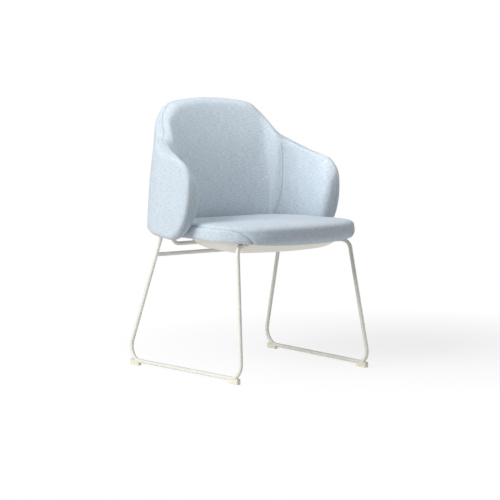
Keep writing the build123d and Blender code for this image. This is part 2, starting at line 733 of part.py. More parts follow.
with BuildPart() as socket_screws:
    head = (SCREW_HEAD_D - SCREW_D) / 2
    for plane in socket_screw_planes():
        with BuildSketch(Plane(plane.origin, x_dir=plane.x_dir, z_dir=-plane.y_dir)):
            with BuildLine():
                Polyline(
                    (0, 0),
                    (SCREW_HEAD_D / 2, 0),
                    (SCREW_D / 2, -head),
                    (SCREW_D / 2, -SCREW_LENGTH),
                    (0, -SCREW_LENGTH),
                    close=True,
                )
            make_face()
        revolve(axis=Axis(plane.origin, plane.z_dir))
socket_screws.part.label = "socket_screws"
export_step(socket_screws.part, "parts/socket_screws.step")

# Padded inside of the tub in three pieces, parted at the two upright seams
pads = {
    "back_pad": (-SEAM_REACH, SEAM_REACH),
    "left_arm_pad": (SEAM_REACH + SEAM_GAP, PAD_END),
    "right_arm_pad": (-PAD_END, -SEAM_REACH - SEAM_GAP),
}
for name, (start, end) in pads.items():
    with BuildPart() as pad:
        loft([padded_section(wrap) for wrap in stations(start, end)])
        add(cover_room, mode=Mode.SUBTRACT)
        add(shell_room, mode=Mode.SUBTRACT)
        for _, axis_at, head_z, lift in SOCKETS:
            for _, side in SIDES:
                add(socket_block(axis_at, head_z, lift, side, SOFT_GAP, SOCKET_OPEN), mode=Mode.SUBTRACT)
    pad.part.label = name
    export_step(pad.part, f"parts/{name}.step")

# Upholstered outside of the tub
with BuildPart() as outer_cover:
    loft([cover_section(wrap) for wrap in stations(-COVER_END, COVER_END)])
outer_cover.part.label = "outer_cover"
export_step(outer_cover.part, "parts/outer_cover.step")
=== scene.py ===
import bmesh
import bpy
import numpy as np
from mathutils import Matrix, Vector
from mathutils.bvhtree import BVHTree


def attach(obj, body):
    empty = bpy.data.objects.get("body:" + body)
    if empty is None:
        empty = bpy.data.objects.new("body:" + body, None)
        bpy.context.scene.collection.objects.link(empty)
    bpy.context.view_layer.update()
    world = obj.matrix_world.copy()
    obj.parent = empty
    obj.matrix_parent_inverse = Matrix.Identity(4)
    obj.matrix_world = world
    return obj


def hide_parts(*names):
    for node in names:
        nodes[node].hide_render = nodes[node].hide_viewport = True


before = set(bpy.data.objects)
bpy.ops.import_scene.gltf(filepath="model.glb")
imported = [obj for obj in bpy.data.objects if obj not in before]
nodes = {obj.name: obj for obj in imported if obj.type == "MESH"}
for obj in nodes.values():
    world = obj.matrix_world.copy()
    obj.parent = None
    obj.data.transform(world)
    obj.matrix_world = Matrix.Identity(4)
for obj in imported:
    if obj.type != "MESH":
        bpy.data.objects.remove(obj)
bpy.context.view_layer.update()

# Rod frame: two sled rods, the cross bar between the rear legs and the loop under the seat.
# 12 mm mild steel rod, bent cold, welded, with two flat straps welded on for the seat.
# The whole frame is powder coated in a warm off-white.
MM = 0.001
# Numbers of a Mix node's colour sockets, because their names are shared by other sockets
TONE_A, TONE_B, TONE_OUT = 6, 7, 2


def linear(code):
    """An sRGB hex colour as linear RGBA."""
    parts = np.array([int(code[i : i + 2], 16) for i in (1, 3, 5)]) / 255
    low = parts / 12.92
    high = ((parts + 0.055) / 1.055) ** 2.4
    return (*np.where(parts <= 0.04045, low, high), 1.0)


def add_node(tree, kind, settings, links=None):
    """One shader node: settings name its properties and inputs, links feed its inputs."""
    node = tree.nodes.new(kind)
    for name, value in settings.items():
        if isinstance(name, str) and hasattr(node, name):
            setattr(node, name, value)
        else:
            node.inputs[name].default_value = value
    for name, source in (links or {}).items():
        tree.links.new(source, node.inputs[name])
    return node


def new_finish(name, shader):
    """An empty material whose shader has these constant values."""
    material = bpy.data.materials.new(name)
    material.use_nodes = True
    surface = material.node_tree.nodes["Principled BSDF"]
    for socket, value in shader.items():
        surface.inputs[socket].default_value = value
    return material, material.node_tree, surface


def coat(material, *names):
    """Gives these solids of the frame a material."""
    for name in names:
        nodes[name].data.materials.clear()
        nodes[name].data.materials.append(material)


def per_metre(size_mm):
    """Repeats per metre of a pattern of this size."""
    return 1000 / size_mm


# Powder coat on blasted steel: a soft even gloss, warm white and a little clouded
DUST_MM = 60
powder_coat, tree, surface = new_finish("powder_coated_steel", {"Roughness": 0.5, "IOR": 1.5})
place = add_node(tree, "ShaderNodeTexCoord", {})
shade = add_node(
    tree,
    "ShaderNodeTexNoise",
    {"Scale": per_metre(DUST_MM), "Detail": 3},
    {"Vector": place.outputs["Object"]},
)
tone = add_node(
    tree,
    "ShaderNodeMix",
    {"data_type": "RGBA", TONE_A: linear("#DFDCD4"), TONE_B: linear("#E7E5DE")},
    {0: shade.outputs["Fac"]},
)
tree.links.new(tone.outputs[TONE_OUT], surface.inputs["Base Color"])
coat(
    powder_coat,
    "left_sled_rod",
    "right_sled_rod",
    "rear_cross_bar",
    "back_loop",
    "left_seat_plate",
    "right_seat_plate",
)

# Floor glides: moulded nylon shoes that clip under both ends of each runner.
# Natural nylon is milky and slightly yellow, and lets some light through its edges.
MILK_MM = 9
nylon, tree, surface = new_finish(
    "natural_nylon",
    {
        "Roughness": 0.38,
        "IOR": 1.53,
        "Subsurface Weight": 0.1,
        "Subsurface Radius": (0.004, 0.0035, 0.002),
    },
)
place = add_node(tree, "ShaderNodeTexCoord", {})
milk = add_node(
    tree,
    "ShaderNodeTexNoise",
    {"Scale": per_metre(MILK_MM), "Detail": 2},
    {"Vector": place.outputs["Object"]},
)
tone = add_node(
    tree,
    "ShaderNodeMix",
    {"data_type": "RGBA", TONE_A: linear("#DDD9C6"), TONE_B: linear("#E6E3D3")},
    {0: milk.outputs["Fac"]},
)
tree.links.new(tone.outputs[TONE_OUT], surface.inputs["Base Color"])
coat(nylon, "front_left_glide", "front_right_glide", "rear_left_glide", "rear_right_glide")

# Seat board and back shell: birch plywood, the board flat and the shell moulded to the tub's curve.
# Long grain runs through the veneer. The shell is bare inside its covers.
# The board is coloured near black all over as painted shade, so that the holes in the pan look dark inside.
GRAIN_WIDTH_MM = 7
GRAIN_STRETCH = 0.08


def plywood(name, pale, dark):
    """Veneer with long grain between two tones."""
    veneer, tree, surface = new_finish(name, {"Roughness": 0.7, "IOR": 1.5})
    place = add_node(tree, "ShaderNodeTexCoord", {})
    along = add_node(
        tree, "ShaderNodeMapping", {"Scale": (1, GRAIN_STRETCH, 1)}, {"Vector": place.outputs["Object"]}
    )
    grain = add_node(
        tree,
        "ShaderNodeTexNoise",
        {"Scale": per_metre(GRAIN_WIDTH_MM), "Detail": 6, "Distortion": 0.6},
        {"Vector": along.outputs["Vector"]},
    )
    tone = add_node(
        tree,
        "ShaderNodeMix",
        {"data_type": "RGBA", TONE_A: linear(pale), TONE_B: linear(dark)},
        {0: grain.outputs["Fac"]},
    )
    tree.links.new(tone.outputs[TONE_OUT], surface.inputs["Base Color"])
    return veneer


coat(plywood("birch_plywood", "#D9BE94", "#C29F6E"), "back_shell")
# Painted shade: the board's near black veneer stands in for the shade inside the pan's holes
coat(plywood("near_black_painted_shade_plywood", "#262422", "#1A1918"), "seat_board")

# Screws and tee nuts: steel fasteners that hold board, pan and shell to the frame.
# Bright zinc plating gives a greyish metal with a fine crystal mottle.
CRYSTAL_MM = 1.5
zinc, tree, surface = new_finish("zinc_plated_steel", {"Metallic": 1.0})
place = add_node(tree, "ShaderNodeTexCoord", {})
crystal = add_node(
    tree, "ShaderNodeTexVoronoi", {"Scale": per_metre(CRYSTAL_MM)}, {"Vector": place.outputs["Object"]}
)
tone = add_node(
    tree,
    "ShaderNodeMix",
    {"data_type": "RGBA", TONE_A: linear("#B9BCC0"), TONE_B: linear("#D2D4D6")},
    {0: crystal.outputs["Distance"]},
)
gloss = add_node(
    tree, "ShaderNodeMapRange", {"To Min": 0.28, "To Max": 0.42}, {"Value": crystal.outputs["Distance"]}
)
tree.links.new(tone.outputs[TONE_OUT], surface.inputs["Base Color"])
tree.links.new(gloss.outputs["Result"], surface.inputs["Roughness"])
coat(zinc, "seat_screws", "tee_nuts", "pan_screws", "socket_screws")

# Sockets: glass-filled nylon blocks that take the rear legs and the loop's ends inside the tub wall.
# The mould leaves a dull black skin with faint flow marks.
FLOW_MM = 12
black_nylon, tree, surface = new_finish("black_glass_filled_nylon", {"Roughness": 0.55, "IOR": 1.53})
place = add_node(tree, "ShaderNodeTexCoord", {})
flow = add_node(
    tree,
    "ShaderNodeTexNoise",
    {"Scale": per_metre(FLOW_MM), "Detail": 4, "Distortion": 1.2},
    {"Vector": place.outputs["Object"]},
)
tone = add_node(
    tree,
    "ShaderNodeMix",
    {"data_type": "RGBA", TONE_A: linear("#1B1B1D"), TONE_B: linear("#2A2A2C")},
    {0: flow.outputs["Fac"]},
)
tree.links.new(tone.outputs[TONE_OUT], surface.inputs["Base Color"])
coat(black_nylon, "left_leg_socket", "right_leg_socket", "left_loop_socket", "right_loop_socket")

# Seat pan: a moulded dish that closes the seat from below, screwed up to the straps.
# White polypropylene with the fine spark-eroded grain of its mould.
SPARK_MM = 1.2
CLOUD_MM = 90
pan_plastic, tree, surface = new_finish("white_polypropylene", {"Roughness": 0.48, "IOR": 1.49})
place = add_node(tree, "ShaderNodeTexCoord", {})
cloud = add_node(
    tree,
    "ShaderNodeTexNoise",
    {"Scale": per_metre(CLOUD_MM), "Detail": 2},
    {"Vector": place.outputs["Object"]},
)
tone = add_node(
    tree,
    "ShaderNodeMix",
    {"data_type": "RGBA", TONE_A: linear("#F0EBDF"), TONE_B: linear("#F6F2E9")},
    {0: cloud.outputs["Fac"]},
)
spark = add_node(
    tree,
    "ShaderNodeTexNoise",
    {"Scale": per_metre(SPARK_MM), "Detail": 3},
    {"Vector": place.outputs["Object"]},
)
relief = add_node(
    tree, "ShaderNodeBump", {"Strength": 0.2, "Distance": 0.08 * MM}, {"Height": spark.outputs["Fac"]}
)
tree.links.new(tone.outputs[TONE_OUT], surface.inputs["Base Color"])
tree.links.new(relief.outputs["Normal"], surface.inputs["Normal"])
coat(pan_plastic, "seat_pan")

# Seat cushion: moulded foam on the board, in a wool cover whose top panel falls over the front.
# Two side gussets meet the top panel at a plain seam that drops to the lower edge at each corner.
# The cover is drawn in below, and stapled under the board's edge.
SEAT_HALF = 264.95
SEAT_TAPER = 35.0
SEAT_SHOULDER_Y = -230.0
SEAT_FRONT_Y = -270.5
SEAT_REAR_Y = 158.0
SEAT_FRONT_ROUND = 136.0
SEAT_REAR_ROUND = 132.0
BELLY_Z = 420.0
BELOW = 32.0
ABOVE = 32.6
DRAW_IN = 34.0
CROWN_INSET = 90.0
SQUARE = 0.46
UNDER_Z = 388.5
SAG = 18.0
CROWN_RISE = 4.0
BOARD_EDGE = 37.5
BOARD_TOP_Z = 412.5
HEM_INSET = 40.5
HEM_Z = 399.4
SIDE_TOP_Z = 450.5
TOP_CELLS = 110
SIDE_ROW = 1.6
CROWN_ROWS = 15
PROFILE_STEPS = 721
OUTLINE_STEP = 0.5
SEAM_FOOT_TURN = 30.5
SEAM_FOOT_Z = 398.0
SEAM_RISE = 47.5
SEAM_SWEEP = 32.0
SEAM_SETTLE = 0.012
SEAM_SINK = 8.0
SEAM_WIDTH = 2.2


def arc(centre, radius, start, end):
    """Points on an arc and their outward directions, with angles measured from straight ahead."""
    turn = np.linspace(start, end, max(int(radius * abs(end - start) / OUTLINE_STEP), 2))
    out = np.stack([np.sin(turn), -np.cos(turn)], 1)
    return centre + radius * out, out


def seat_outline(count):
    """Plan outline of the cushion from the middle of its front round its left side, evenly spaced.

    Gives points, outward directions, lengths along the outline, its whole length and the seam's foot.
    """
    bow = SEAT_SHOULDER_Y - SEAT_FRONT_Y
    front_r = (SEAT_HALF**2 + bow**2) / (2 * bow)
    front_centre = np.array([0, SEAT_FRONT_Y + front_r])
    corner = np.array([SEAT_HALF, SEAT_SHOULDER_Y])
    side = np.array([-SEAT_TAPER, SEAT_REAR_Y - SEAT_SHOULDER_Y])
    side = side / np.linalg.norm(side)
    inward = np.array([-side[1], side[0]])
    base = corner + inward * SEAT_FRONT_ROUND - front_centre
    middle = base @ side
    reach = -middle - np.sqrt(middle**2 - base @ base + (front_r - SEAT_FRONT_ROUND) ** 2)
    front_round = front_centre + base + side * reach
    start = np.arctan2(front_round[0], front_centre[1] - front_round[1])
    flank = np.arctan2(-inward[0], inward[1])
    rear_y = SEAT_REAR_Y - SEAT_REAR_ROUND
    slide = (rear_y - corner[1] - inward[1] * SEAT_REAR_ROUND) / side[1]
    rear_round = corner + inward * SEAT_REAR_ROUND + side * slide
    pieces = [
        arc(front_centre, front_r, 0, start),
        arc(front_round, SEAT_FRONT_ROUND, start, flank),
        arc(rear_round, SEAT_REAR_ROUND, flank, np.pi),
    ]
    half = np.concatenate([p for p, _ in pieces] + [[[0, SEAT_REAR_Y]]])
    half_out = np.concatenate([n for _, n in pieces] + [[[0, 1]]])
    mirror = np.array([-1, 1])
    loop = np.concatenate([half, half[-2::-1] * mirror])
    loop_out = np.concatenate([half_out, half_out[-2::-1] * mirror])
    run = np.concatenate([[0], np.cumsum(np.linalg.norm(np.diff(loop, axis=0), axis=1))])
    even = np.linspace(0, run[-1], count, endpoint=False)
    points = np.stack([np.interp(even, run, loop[:, i]) for i in range(2)], 1)
    out = np.stack([np.interp(even, run, loop_out[:, i]) for i in range(2)], 1)
    out /= np.linalg.norm(out, axis=1)[:, None]
    foot = front_r * start + SEAT_FRONT_ROUND * (np.radians(SEAM_FOOT_TURN) - start)
    return points, out, even, run[-1], foot


def coons(top, bottom, left, right, across):
    """Grid of points spanned between four sides, rows from top to bottom."""
    down = np.linspace(0, 1, len(left))[:, None, None]
    across = across[None, :, None]
    grid = (1 - down) * top[None] + down * bottom[None]
    grid = grid + (1 - across) * left[:, None] + across * right[:, None]
    corners = (1 - down) * ((1 - across) * top[0] + across * top[-1])
    corners = corners + down * ((1 - across) * bottom[0] + across * bottom[-1])
    return grid - corners


def new_piece(name, points_mm, faces, uv_mm):
    """A mesh object from points and a weave map, both in millimetres."""
    mesh = bpy.data.meshes.new(name)
    mesh.from_pydata((points_mm * MM).tolist(), [], faces)
    weave_map = mesh.uv_layers.new(name="weave")
    corner_points = np.zeros(len(mesh.loops), int)
    mesh.loops.foreach_get("vertex_index", corner_points)
    weave_map.data.foreach_set("uv", (uv_mm[corner_points] * MM).astype(np.float32).ravel())
    shaped = bmesh.new()
    shaped.from_mesh(mesh)
    bmesh.ops.recalc_face_normals(shaped, faces=shaped.faces)
    shaped.to_mesh(mesh)
    shaped.free()
    mesh.shade_smooth()
    piece = bpy.data.objects.new(name, mesh)
    bpy.context.scene.collection.objects.link(piece)
    return piece


def read_points(mesh, kind):
    """One vector for each of the mesh's points: its place or its normal."""
    flat = np.zeros(3 * len(mesh.vertices))
    mesh.vertices.foreach_get(kind, flat)
    return flat.reshape(-1, 3)


def move_points(piece, points_mm):
    """Puts the piece's points at these places."""
    piece.data.vertices.foreach_set("co", (points_mm * MM).ravel())
    piece.data.update()


def ring_faces(rows, count):
    """Quads between closed rows of equally many points."""
    faces = []
    for row in range(rows - 1):
        low = row * count
        for i in range(count):
            j = (i + 1) % count
            faces.append((low + i, low + j, low + count + j, low + count + i))
    return faces


def grid_faces(number):
    """Quads of a grid, from its point numbers."""
    corners = (number[:-1, :-1], number[:-1, 1:], number[1:, 1:], number[1:, :-1])
    return [tuple(int(i) for i in quad) for quad in np.stack(corners, -1).reshape(-1, 4)]


SEAT_POINTS = 4 * TOP_CELLS
edge, edge_out, edge_run, edge_total, seam_foot = seat_outline(SEAT_POINTS)
turn = np.radians(np.linspace(-90, 90, PROFILE_STEPS))
across, up = np.cos(turn), np.abs(np.sin(turn))
profile_inset = np.where(turn < 0, DRAW_IN * (1 - across), CROWN_INSET * (1 - across**SQUARE))
profile_z = np.where(turn < 0, BELLY_Z - BELOW * up, BELLY_Z + ABOVE * up**SQUARE)
profile_run = np.concatenate([[0], np.cumsum(np.hypot(np.diff(profile_inset), np.diff(profile_z)))])
side_end = np.interp(SIDE_TOP_Z, profile_z, profile_run)
row_run = np.concatenate(
    [np.arange(0, side_end, SIDE_ROW), np.linspace(side_end, profile_run[-1], CROWN_ROWS)]
)


def underside(inset):
    """Plan outline of the cover at an inset, and its underside there, which hangs lowest in the middle."""
    plan = edge - edge_out * inset
    return plan, UNDER_Z + SAG * (plan[:, 0] / SEAT_HALF) ** 2


# Rows of points round the cushion: the hem on the board, its turn, and the profile up to the crown
hem = [(BOARD_EDGE, BOARD_TOP_Z), (BOARD_EDGE, HEM_Z), (HEM_INSET, HEM_Z)]
rows = [np.column_stack([edge - edge_out * inset, np.full(SEAT_POINTS, z)]) for inset, z in hem]
plan, under = underside(HEM_INSET)
rows.append(np.column_stack([plan, np.minimum(under, HEM_Z)]))
hem_rows = len(rows)
for run in row_run:
    plan, under = underside(np.interp(run, profile_run, profile_inset))
    rows.append(np.column_stack([plan, np.maximum(under, np.interp(run, profile_run, profile_z))]))
points = np.concatenate(rows)
faces = ring_faces(len(rows), SEAT_POINTS)
faces.append(tuple(range(SEAT_POINTS)))
loop = np.roll(np.arange(SEAT_POINTS), TOP_CELLS // 2) + len(points) - SEAT_POINTS
front = loop[: TOP_CELLS + 1]
left = loop[TOP_CELLS : 2 * TOP_CELLS + 1]
rear = loop[2 * TOP_CELLS : 3 * TOP_CELLS + 1][::-1]
right = np.append(loop[3 * TOP_CELLS :], loop[0])[::-1]
share = np.linspace(0, 1, TOP_CELLS + 1)
grid = coons(points[front], points[rear], points[right], points[left], share)
arch = 4 * share * (1 - share)
dome = np.outer(arch, arch)
grid[..., 2] += CROWN_RISE * dome**2 * (3 - 2 * dome)
number = np.zeros((TOP_CELLS + 1, TOP_CELLS + 1), int)
number[0], number[-1], number[:, 0], number[:, -1] = front, rear, right, left
number[1:-1, 1:-1] = len(points) + np.arange((TOP_CELLS - 1) ** 2).reshape(TOP_CELLS - 1, -1)
faces += grid_faces(number)

# The gussets' seam: from its foot at each front corner it sweeps up and runs back along the side
sides = slice(hem_rows * SEAT_POINTS, len(points))
side_rows = len(rows) - hem_rows
height = points[sides, 2]
past = np.tile(np.minimum(edge_run, edge_total - edge_run) - seam_foot, side_rows)
climb = SEAM_RISE * np.exp(-np.maximum(past, 0) / SEAM_SWEEP)
seam_z = SEAM_FOOT_Z + SEAM_RISE - climb - SEAM_SETTLE * past
off_seam = np.abs(height - seam_z) / np.hypot(1, climb / SEAM_SWEEP)
off_seam = np.where(height < SEAM_FOOT_Z, np.abs(past), off_seam)
sewn = (past > 0) | (height < SEAM_FOOT_Z)
sink = np.where(sewn, SEAM_SINK * np.exp(-off_seam / SEAM_WIDTH), 0)
row_gap = np.linalg.norm(np.diff(rows, axis=0), axis=2).mean(axis=1)
reach = row_gap.sum() - np.append(0, np.cumsum(row_gap)) - CROWN_INSET
weave_map = np.concatenate([edge + edge_out * far for far in reach])
gusset_map = np.column_stack([np.tile(edge_run, side_rows), height])
on_gusset = (past > 0) & (height < seam_z)
weave_map[sides] = np.where(on_gusset[:, None], gusset_map, weave_map[sides])
weave_map = np.concatenate([weave_map, grid[1:-1, 1:-1, :2].reshape(-1, 2)])
points = np.concatenate([points, grid[1:-1, 1:-1].reshape(-1, 3)])
cushion = new_piece("seat_cushion_cover", points, faces, weave_map)
shape = read_points(cushion.data, "co") / MM
shape[sides] -= read_points(cushion.data, "normal")[sides] * sink[:, None]
move_points(cushion, shape)

# Wool melange: pale and blue-grey fibres spun together, woven in a plain weave.
# Flecks run with the weft, the weave lies in soft ribs, and loose fibre gives a dull sheen.
# The threads are 1.1 mm in the real cloth, and are drawn coarser here so that they show.
THREAD_MM = 2.0
FLECK_LONG_MM = 15.0
FLECK_THICK_MM = 2.3
CROSS_SHARE = 0.3
PATCH_SHARE = 0.1
PATCH_MM = 45.0
WARP_SHIFT = (31, 17, 0)
melange, tree, surface = new_finish(
    "wool_melange",
    {
        "Roughness": 0.95,
        "IOR": 1.5,
        "Specular IOR Level": 0.15,
        "Sheen Weight": 0.3,
        "Sheen Roughness": 0.6,
        "Sheen Tint": linear("#EAF1F7"),
    },
)
weave = add_node(tree, "ShaderNodeUVMap", {"uv_map": "weave"})
weft = add_node(
    tree,
    "ShaderNodeMapping",
    {"Scale": (per_metre(FLECK_LONG_MM), per_metre(FLECK_THICK_MM), 1)},
    {"Vector": weave.outputs["UV"]},
)
fleck = add_node(
    tree,
    "ShaderNodeTexNoise",
    {"Scale": 1, "Detail": 3, "Roughness": 0.65},
    {"Vector": weft.outputs["Vector"]},
)
warp = add_node(
    tree,
    "ShaderNodeMapping",
    {"Scale": (per_metre(FLECK_THICK_MM), per_metre(FLECK_LONG_MM), 1), "Location": WARP_SHIFT},
    {"Vector": weave.outputs["UV"]},
)
cross_fleck = add_node(
    tree,
    "ShaderNodeTexNoise",
    {"Scale": 1, "Detail": 2, "Roughness": 0.6},
    {"Vector": warp.outputs["Vector"]},
)
patch = add_node(
    tree, "ShaderNodeTexNoise", {"Scale": per_metre(PATCH_MM), "Detail": 2}, {"Vector": weave.outputs["UV"]}
)
fibres = add_node(
    tree,
    "ShaderNodeMath",
    {"operation": "MULTIPLY_ADD", 1: CROSS_SHARE},
    {0: cross_fleck.outputs["Fac"], 2: fleck.outputs["Fac"]},
)
blend = add_node(
    tree,
    "ShaderNodeMath",
    {"operation": "MULTIPLY_ADD", 1: PATCH_SHARE},
    {0: patch.outputs["Fac"], 2: fibres.outputs["Value"]},
)
spread = add_node(
    tree, "ShaderNodeMapRange", {"From Min": 0.38, "From Max": 1.02}, {"Value": blend.outputs["Value"]}
)
tone = add_node(
    tree,
    "ShaderNodeMix",
    {"data_type": "RGBA", TONE_A: linear("#97A7B3"), TONE_B: linear("#DAE2E9")},
    {0: spread.outputs["Result"]},
)
thread = add_node(
    tree, "ShaderNodeMapping", {"Scale": (per_metre(THREAD_MM),) * 3}, {"Vector": weave.outputs["UV"]}
)
over = add_node(
    tree,
    "ShaderNodeTexWave",
    {"Scale": 0.5, "Distortion": 1.5, "Detail": 1, "bands_direction": "X"},
    {"Vector": thread.outputs["Vector"]},
)
under = add_node(
    tree,
    "ShaderNodeTexWave",
    {"Scale": 0.5, "Distortion": 1.5, "Detail": 1, "bands_direction": "Y"},
    {"Vector": thread.outputs["Vector"]},
)
plait = add_node(
    tree, "ShaderNodeMath", {"operation": "MAXIMUM"}, {0: over.outputs["Fac"], 1: under.outputs["Fac"]}
)
nap = add_node(
    tree, "ShaderNodeMath", {"operation": "ADD"}, {0: plait.outputs["Value"], 1: fibres.outputs["Value"]}
)
relief = add_node(
    tree, "ShaderNodeBump", {"Strength": 0.35, "Distance": 0.3 * MM}, {"Height": nap.outputs["Value"]}
)
tree.links.new(tone.outputs[TONE_OUT], surface.inputs["Base Color"])
tree.links.new(relief.outputs["Normal"], surface.inputs["Normal"])


def dress(piece, node):
    """The piece stands for a padded solid of the frame, in the wool cover."""
    piece.data.materials.append(melange)
    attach(piece, "root")
    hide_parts(node)


dress(cushion, "seat_cushion")

# Outer cover of the tub: one wool panel over the back of the moulded shell, from arm to arm.
# It meets the inside pads at a seam along the middle of the tub's edge, further in along the arms' tops.
# A row of top-stitching holds the seam's turning down on this side.
BACK_Y = 254.0
BACK_R = 650.0
BACK_TURN = np.radians(17.9)
CORNER_R = 152.0
ARM_TURN = np.radians(93.0)
ARM_FRONT_Y = -68.0
BACK_TOP_Z = 819.0
CROWN_R = 1040.0
SHOULDER_WRAP = 200.0
SHOULDER_Z = 770.0
SHOULDER_SLOPE = 1.066
SHOULDER_BEND = 7.0
ARM_FRONT_Z = 622.3
ARM_SLOPE = 0.29
ARM_BLEND = 11.2
TUB_SEAT_Z = 400.0
TUB_REAR_Z = 420.0
TUB_ARM_Z = 393.0
TOP_NOSE = 54.0
LOW_NOSE = 100.0
LOW_NOSE_RISE = 164.0
BACK_LEAN = 4.6
CORNER_LEAN = -45.3
ARM_LEAN = -28.0
LEAN_START = 178.0
LEAN_END = 282.0
OUTER_BULGE = 9.4
WALL_BACK = (85.0, 52.0)
WALL_ARM = (36.0, 28.0)
SEAM_SHARE = 0.46
SEAM_SHIFT = 0.44
SHIFT_START = (310.0, 375.0)
SHIFT_END = (425.0, 490.0)
SHIFT_RISE = (500.0, 600.0)
OUTER_ROUND = 16.0
INNER_ROUND = 24.0
COVER_THICK = 7.6
TURNING = 6.0
PAD_DEPTH = 19.6
INSETS = (0.0, 0.4, 1.5, 3.4, 6.0, 9.5, 13.5, 18.5, 24.0)
EDGE_SEAM_SINK = 0.9
EDGE_SEAM_WIDTH = 0.7
INNER_SEAM = 303.0
INNER_SEAM_LEAN = 60.0
INNER_SEAM_SPAN = 110.0
INNER_SEAM_BOW = 4
BESIDE_SEAM = np.array([1.2, 3.0, 6.0])
CLEAR_OF_SEAM = 12.0
COLUMN = 8.0
FRONT_CELLS = 22
FRONT_STEPS = 60
BACK_LENGTH = BACK_R * BACK_TURN
CORNER_LENGTH = CORNER_R * (ARM_TURN - BACK_TURN)
CORNER_X = (BACK_R - CORNER_R) * np.sin(BACK_TURN)
CORNER_Y = BACK_Y - BACK_R + (BACK_R - CORNER_R) * np.cos(BACK_TURN)
ARM_START_Y = CORNER_Y + CORNER_R * np.cos(ARM_TURN)
HALF_WRAP = BACK_LENGTH + CORNER_LENGTH + (ARM_START_Y - ARM_FRONT_Y) / np.sin(ARM_TURN)


def plan_at(wrap):
    """Plan point and outward direction at a length along the tub, negative on the right."""
    side = np.where(wrap < 0, -1, 1)
    length = np.abs(wrap)
    on_corner = BACK_TURN + (length - BACK_LENGTH) / CORNER_R
    turn = np.where(length < BACK_LENGTH, length / BACK_R, np.minimum(on_corner, ARM_TURN))
    rest = np.maximum(length - BACK_LENGTH - CORNER_LENGTH, 0)
    on_back = length < BACK_LENGTH
    x = np.where(on_back, BACK_R * np.sin(turn), CORNER_X + CORNER_R * np.sin(turn) + rest * np.cos(turn))
    y_back = BACK_Y - BACK_R + BACK_R * np.cos(turn)
    y = np.where(on_back, y_back, CORNER_Y + CORNER_R * np.cos(turn) - rest * np.sin(turn))
    return np.stack([side * x, y], -1), np.stack([side * np.sin(turn), np.cos(turn)], -1)


def ease(value, start, end):
    """A smooth rise from 0 at the start to 1 at the end."""
    share = np.clip((value - start) / (end - start), 0, 1)
    return share * share * (3 - 2 * share)


def nose(distance, length):
    """Share of a quarter ellipse's rise, from 1 at the arm's front to 0 a length behind it."""
    share = np.clip(length - distance, 0, length) / length
    return 1 - np.sqrt(1 - share * share)


def edge_line(length):
    """The upper edge before its fronts are rounded: crowned back, falling shoulder and sloping arm."""
    crown = BACK_TOP_Z - length**2 / (2 * CROWN_R)
    shoulder = SHOULDER_Z - SHOULDER_SLOPE * (length - SHOULDER_WRAP)
    back = (crown + shoulder) / 2 - np.hypot((crown - shoulder) / 2, SHOULDER_BEND)
    arm = ARM_FRONT_Z + ARM_SLOPE * (HALF_WRAP - length)
    return (back + arm) / 2 + np.hypot((back - arm) / 2, ARM_BLEND)


def top_at(wrap):
    """Height of the tub's upper edge, rounded down at the arm's front."""
    length = np.minimum(np.abs(wrap), HALF_WRAP)
    level = BACK_TOP_Z - edge_line(0)
    return edge_line(length) + level - TOP_NOSE * nose(HALF_WRAP - length, TOP_NOSE)


def bottom_at(wrap):
    """Height of the tub's lower edge, rounded up at the arm's front."""
    length = np.minimum(np.abs(wrap), HALF_WRAP)
    level = TUB_REAR_Z + (TUB_ARM_Z - TUB_REAR_Z) * ease(length, BACK_LENGTH, HALF_WRAP)
    return level + LOW_NOSE_RISE * nose(HALF_WRAP - length, LOW_NOSE)


def outer_at(wrap, z):
    """How far the outside stands out of the plan curve."""
    rise = (z - TUB_SEAT_Z) / (BACK_TOP_Z - TUB_SEAT_Z)
    lean = BACK_LEAN + (CORNER_LEAN - BACK_LEAN) * ease(np.abs(wrap), LEAN_START, LEAN_END)
    lean = lean + (ARM_LEAN - CORNER_LEAN) * ease(np.abs(wrap), LEAN_END, HALF_WRAP)
    return lean * rise + 4 * OUTER_BULGE * rise * (1 - rise)


def wall_at(wrap, z):
    """Thickness of the padded wall."""
    rise = (z - TUB_SEAT_Z) / (BACK_TOP_Z - TUB_SEAT_Z)
    along = ease(np.abs(wrap), BACK_LENGTH, HALF_WRAP)
    seat = WALL_BACK[0] + (WALL_ARM[0] - WALL_BACK[0]) * along
    top = WALL_BACK[1] + (WALL_ARM[1] - WALL_BACK[1]) * along
    return seat + (top - seat) * rise


def seam_at(wrap, z):
    """Depth of the edge seam in the wall: near the middle, and close to the inside along an arm's top."""
    length = np.abs(wrap)
    on_arm = ease(length, *SHIFT_START) * (1 - ease(length, *SHIFT_END)) * ease(z, *SHIFT_RISE)
    return (SEAM_SHARE + SEAM_SHIFT * on_arm) * wall_at(wrap, z)


def rounded(distance, radius):
    """Share of full thickness at a distance inside a rounded edge."""
    share = np.clip(distance / radius, 0, 1)
    return np.sqrt(1 - (1 - share) ** 2)


def in_space(wrap, z, offset):
    """Points of the tub, from a length along it, a height and an offset outwards."""
    plan, out = plan_at(wrap)
    return np.column_stack([plan + out * offset[:, None], z])


